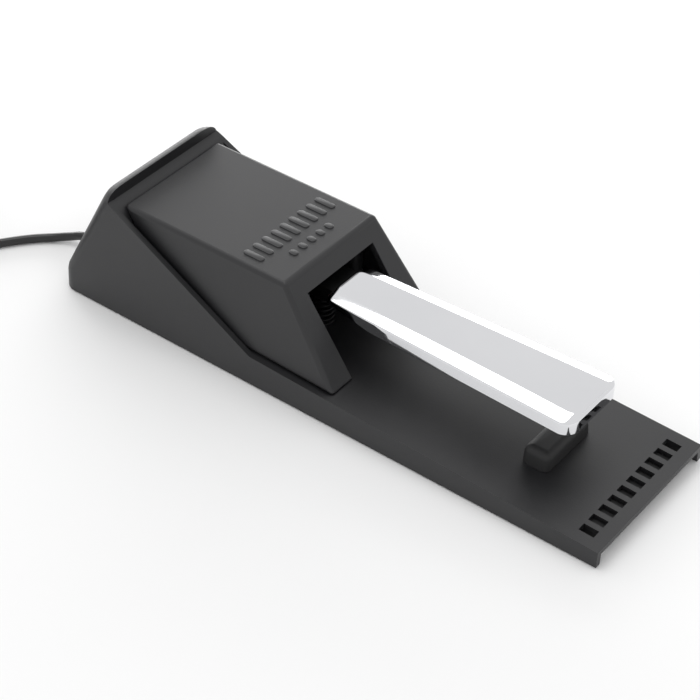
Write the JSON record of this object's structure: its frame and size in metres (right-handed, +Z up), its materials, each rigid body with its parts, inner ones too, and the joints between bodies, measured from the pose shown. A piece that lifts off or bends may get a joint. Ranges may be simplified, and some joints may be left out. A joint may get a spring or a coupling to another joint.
{
  "type": "sustain pedal",
  "caption": "Piano-style sustain pedal for a keyboard: wedge case, chrome lever on a hinged arm, return spring, switch, and a lead with a 6.35 mm plug.",
  "frame": {"origin": "on the floor, under the middle of the case", "axes": "+Z up; the lever's tip points to -Y and the cord leaves at +Y; X runs across the case"},
  "size_m": [0.1225, 0.4127, 0.058],
  "materials": {
    "body": "fine spark-eroded texture",
    "chrome": "polished",
    "black_steel": "black oxide",
    "zinc": "bright zinc",
    "rubber": "moulded, matte",
    "felt": "pressed felt",
    "nylon": "natural nylon",
    "switch": "moulded",
    "cord": "soft PVC, satin",
    "nickel": "nickel plated",
    "red_wire": "PVC",
    "white_wire": "PVC"
  },
  "bodies": {
    "base": {"base_screw_1": "zinc", "base_screw_2": "zinc", "base_screw_3": "zinc", "base_screw_4": "zinc", "base_screw_5": "zinc", "base_screw_6": "zinc", "bottom_plate": "black_steel", "bracket_screw": "zinc", "bush_left": "nylon", "bush_right": "nylon", "clamp_screw_left": "zinc", "clamp_screw_right": "zinc", "cord_clamp": "body", "cord_coil": "cord", "cord_gland": "rubber", "cord_inner": "cord", "cord_run": "cord", "cord_tail": "cord", "cord_tie": "rubber", "cover_screw_1": "zinc", "cover_screw_2": "zinc", "cover_screw_3": "zinc", "cover_screw_4": "zinc", "foot_front": "rubber", "foot_mid_left": "rubber", "foot_mid_right": "rubber", "foot_rear_left": "rubber", "foot_rear_right": "rubber", "lower_case": "body", "plug_barrel": "switch", "plug_boot": "rubber", "plug_ring": "switch", "plug_sleeve": "nickel", "plug_tip": "nickel", "rest_pad": "felt", "return_spring": "black_steel", "stop_bumper": "rubber", "switch_body": "switch", "switch_bracket": "zinc", "switch_screw_front": "zinc", "switch_screw_rear": "zinc", "terminal_common": "nickel", "terminal_contact": "nickel", "upper_cover": "body", "wire_common": "red_wire", "wire_contact": "white_wire"},
    "lever": {"lever_shell": "chrome", "lever_arm": "black_steel", "shell_screw_front": "zinc", "shell_screw_rear": "zinc", "pivot_axle": "zinc", "clip_left": "zinc", "clip_right": "zinc", "spring_seat": "nylon", "switch_actuator": "nylon"},
    "leaf": {"switch_leaf": "zinc"},
    "plunger": {"switch_plunger": "nylon"}
  },
  "joints": [
    {"name": "lever_hinge", "type": "hinge", "parent": "base", "child": "lever", "pos_m": [0, 0.06, 0.0344], "axis": [1, 0, 0], "range_deg": [0, 5.4], "stiffness_Nm_per_rad": 8, "springref_deg": -8.59, "deforming": ["return_spring"]},
    {"name": "leaf_hinge", "type": "hinge", "parent": "base", "child": "leaf", "pos_m": [0, 0.0505, 0.0261], "axis": [1, 0, 0], "range_deg": [0, 11]},
    {"name": "plunger_slide", "type": "slide", "parent": "base", "child": "plunger", "axis": [0, 0, -1], "range_m": [0, 0.0012]}
  ],
  "couplings": [
    {"joint": "leaf_hinge", "follows": "lever_hinge", "ratio": 1.6},
    {"joint": "plunger_slide", "follows": "lever_hinge", "m_per_rad": 0.0112}
  ]
}
